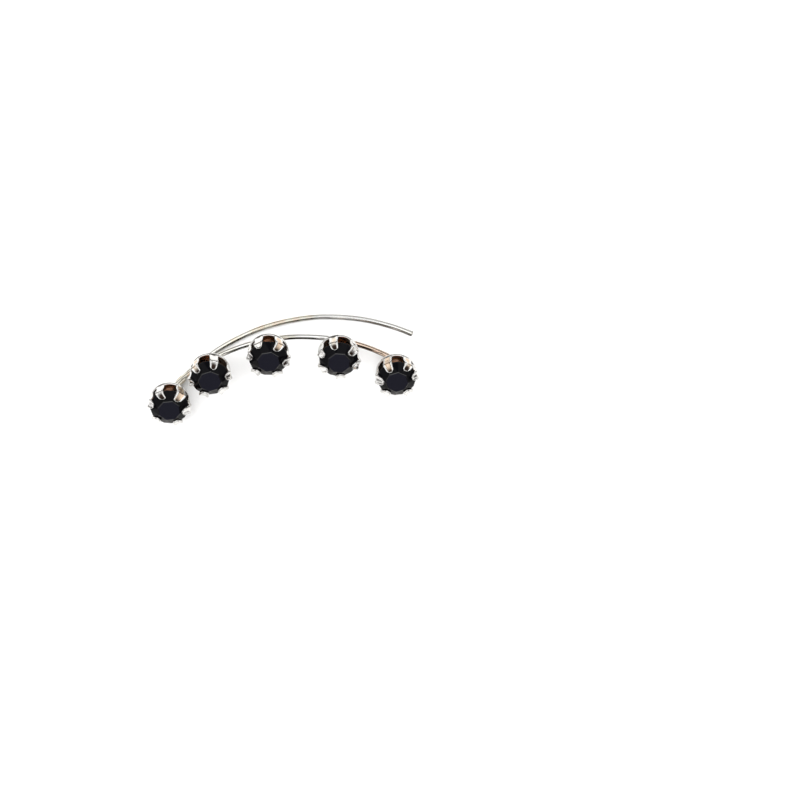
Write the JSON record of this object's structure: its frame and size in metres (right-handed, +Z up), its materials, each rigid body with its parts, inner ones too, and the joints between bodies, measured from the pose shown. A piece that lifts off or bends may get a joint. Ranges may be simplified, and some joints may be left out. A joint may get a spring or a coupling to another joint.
{
  "type": "ear climber",
  "caption": "Ear climber: round black faceted stones in six-claw crown settings along a curved silver wire, with a thin curved ear pin behind it.",
  "frame": {"origin": "middle of the underside of the climber's box, on the surface that it lies on", "axes": "+X along the row of stones towards the free end of the ear pin, +Y towards the outer side of the arch, +Z up from the surface that it lies on"},
  "size_m": [0.0304, 0.0104, 0.0073],
  "materials": {
    "silver": "polished silver, a little brown toning in the recesses",
    "jet_stone": "polished black faceted glass, opaque"
  },
  "bodies": {
    "root": {"silver_frame": "silver", "stone_1": "jet_stone", "stone_2": "jet_stone", "stone_3": "jet_stone", "stone_4": "jet_stone", "stone_5": "jet_stone"}
  },
  "joints": []
}
